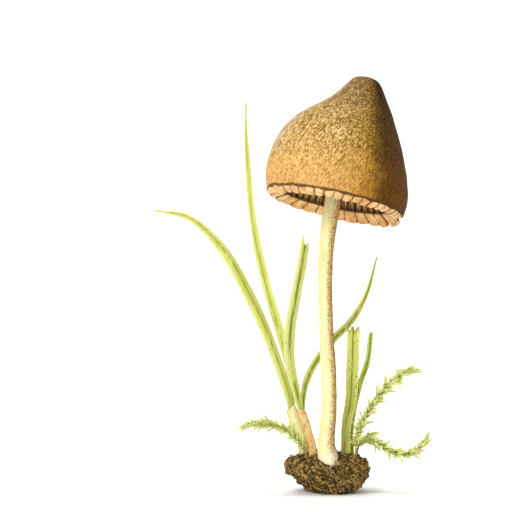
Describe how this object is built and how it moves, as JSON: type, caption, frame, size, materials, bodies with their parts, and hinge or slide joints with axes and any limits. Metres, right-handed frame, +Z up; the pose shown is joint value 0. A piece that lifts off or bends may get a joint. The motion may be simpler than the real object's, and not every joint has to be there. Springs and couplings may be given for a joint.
{
  "type": "bell-capped brown mushroom with grass and moss on a soil clump",
  "caption": "Slender bell-capped meadow mushroom with a toothed veil, gills and a pale stem, rooted with grass blades and moss shoots in a small flat-based clump of soil.",
  "frame": {"origin": "middle of the flat underside of the soil clump, on the surface that it rests on", "axes": "+Z up the mushroom, +X to the right of somebody who looks along +Y at the front, the side where the mouth of the cap shows"},
  "size_m": [0.0737, 0.0385, 0.1102],
  "materials": {
    "cap_skin": "matt, speckled skin",
    "gill_flesh": "matt, mottled dark brown",
    "veil_felt": "matt, dry felted veil",
    "stem_skin": "matt, powdery fibres",
    "soil": "dry crumbly earth",
    "grass": "satin leaf",
    "sheath_pale": "satin dry sheath",
    "sheath_tan": "satin dry sheath",
    "moss": "matt leaf"
  },
  "bodies": {
    "root": {"cap": "cap_skin", "gills": "gill_flesh", "veil_fringe": "veil_felt", "stem": "stem_skin", "soil_clump": "soil", "arching_blade": "grass", "tall_blade": "grass", "torn_blade": "grass", "crossing_blade": "grass", "ribbed_blade": "grass", "blunt_blade": "grass", "pale_sheath": "sheath_pale", "tan_sheath": "sheath_tan", "moss_sprig_upper": "moss", "moss_sprig_lower": "moss", "moss_sprig_small": "moss", "moss_sprig_left": "moss"}
  },
  "joints": []
}
